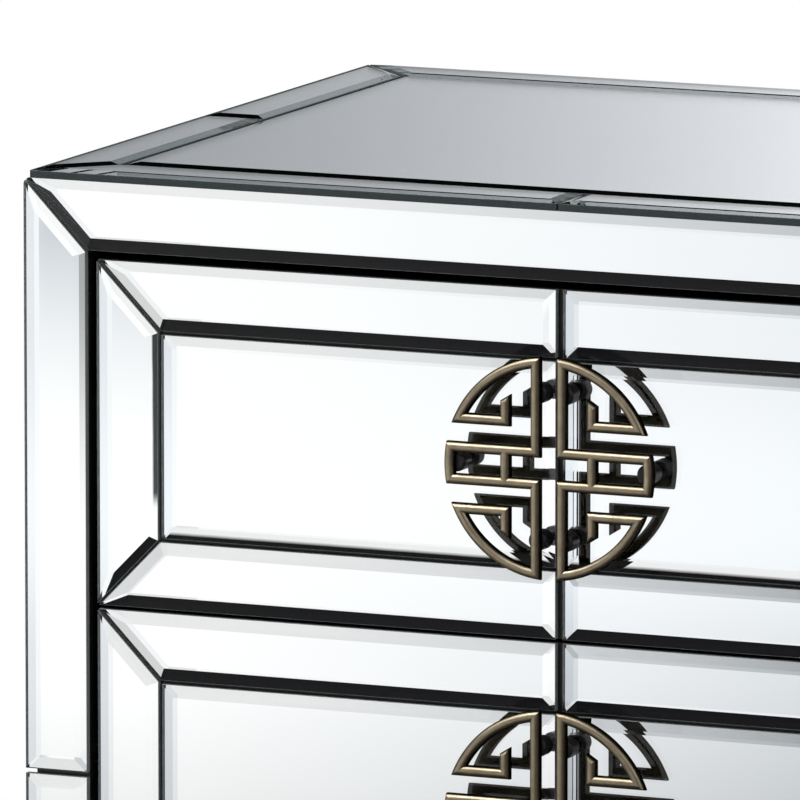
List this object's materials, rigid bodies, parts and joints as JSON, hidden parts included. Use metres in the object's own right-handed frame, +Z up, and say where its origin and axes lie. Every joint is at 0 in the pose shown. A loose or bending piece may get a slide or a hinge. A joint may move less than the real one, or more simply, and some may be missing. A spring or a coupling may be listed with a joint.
{
  "type": "mirrored nightstand",
  "caption": "Nightstand faced all round with bevelled mirror glass on a black carcass; drawers on telescopic runners open with half-round brass fret pulls.",
  "frame": {"origin": "on the floor, at the middle of the footprint of everything, pulls included", "axes": "+Z up, -Y towards the front with the drawers, +X to the right seen from the front"},
  "size_m": [0.6, 0.4496, 0.65],
  "materials": {
    "mirror_glass": "silvered clear float glass, polished bevels, greenish edges",
    "black_lacquer": "black lacquer on fibreboard, satin",
    "drawer_wood": "clear lacquered poplar and plywood",
    "antique_brass": "antique brass, dark patina rubbed back on the raised faces",
    "black_metal": "black oxide",
    "zinc_steel": "zinc plated",
    "glide_plastic": "hard plastic glide"
  },
  "bodies": {
    "carcass": {"left_side_panel": "black_lacquer", "right_side_panel": "black_lacquer", "top_board": "black_lacquer", "bottom_board": "black_lacquer", "back_board": "black_lacquer", "face_frame_stiles": "black_lacquer", "face_frame_rails": "black_lacquer", "runner_packers": "black_lacquer", "foot_blocks": "black_lacquer", "foot_pads": "glide_plastic", "top_border_mirrors": "mirror_glass", "top_center_mirror": "mirror_glass", "rail_mirrors": "mirror_glass", "stile_mirrors": "mirror_glass", "left_side_border_mirrors": "mirror_glass", "left_side_center_mirror": "mirror_glass", "right_side_border_mirrors": "mirror_glass", "right_side_center_mirror": "mirror_glass", "carcass_screws": "zinc_steel", "back_board_screws": "zinc_steel", "foot_screws": "zinc_steel", "drawer_1_slide_outer": "zinc_steel", "drawer_2_slide_outer": "zinc_steel", "drawer_3_slide_outer": "zinc_steel"},
    "drawer_1": {"drawer_1_front_board": "black_lacquer", "drawer_1_box_sides": "drawer_wood", "drawer_1_box_back": "drawer_wood", "drawer_1_bottom_panel": "drawer_wood", "drawer_1_border_mirrors": "mirror_glass", "drawer_1_center_mirrors": "mirror_glass", "drawer_1_left_pull": "antique_brass", "drawer_1_right_pull": "antique_brass", "drawer_1_pull_posts": "black_metal", "drawer_1_pull_screws": "zinc_steel", "drawer_1_slide_inner": "zinc_steel"},
    "slide_1": {"drawer_1_slide_middle": "zinc_steel"},
    "drawer_2": {"drawer_2_front_board": "black_lacquer", "drawer_2_box_sides": "drawer_wood", "drawer_2_box_back": "drawer_wood", "drawer_2_bottom_panel": "drawer_wood", "drawer_2_border_mirrors": "mirror_glass", "drawer_2_center_mirrors": "mirror_glass", "drawer_2_left_pull": "antique_brass", "drawer_2_right_pull": "antique_brass", "drawer_2_pull_posts": "black_metal", "drawer_2_pull_screws": "zinc_steel", "drawer_2_slide_inner": "zinc_steel"},
    "slide_2": {"drawer_2_slide_middle": "zinc_steel"},
    "drawer_3": {"drawer_3_front_board": "black_lacquer", "drawer_3_box_sides": "drawer_wood", "drawer_3_box_back": "drawer_wood", "drawer_3_bottom_panel": "drawer_wood", "drawer_3_border_mirrors": "mirror_glass", "drawer_3_center_mirrors": "mirror_glass", "drawer_3_left_pull": "antique_brass", "drawer_3_right_pull": "antique_brass", "drawer_3_pull_posts": "black_metal", "drawer_3_pull_screws": "zinc_steel", "drawer_3_slide_inner": "zinc_steel"},
    "slide_3": {"drawer_3_slide_middle": "zinc_steel"}
  },
  "joints": [
    {"name": "drawer_1_slide", "type": "slide", "parent": "carcass", "child": "drawer_1", "axis": [0, -1, 0], "range_m": [0, 0.35]},
    {"name": "slide_1_travel", "type": "slide", "parent": "carcass", "child": "slide_1", "axis": [0, -1, 0], "range_m": [0, 0.175]},
    {"name": "drawer_2_slide", "type": "slide", "parent": "carcass", "child": "drawer_2", "axis": [0, -1, 0], "range_m": [0, 0.35]},
    {"name": "slide_2_travel", "type": "slide", "parent": "carcass", "child": "slide_2", "axis": [0, -1, 0], "range_m": [0, 0.175]},
    {"name": "drawer_3_slide", "type": "slide", "parent": "carcass", "child": "drawer_3", "axis": [0, -1, 0], "range_m": [0, 0.35]},
    {"name": "slide_3_travel", "type": "slide", "parent": "carcass", "child": "slide_3", "axis": [0, -1, 0], "range_m": [0, 0.175]}
  ],
  "couplings": [
    {"joint": "slide_1_travel", "follows": "drawer_1_slide", "ratio": 0.5},
    {"joint": "slide_2_travel", "follows": "drawer_2_slide", "ratio": 0.5},
    {"joint": "slide_3_travel", "follows": "drawer_3_slide", "ratio": 0.5}
  ]
}
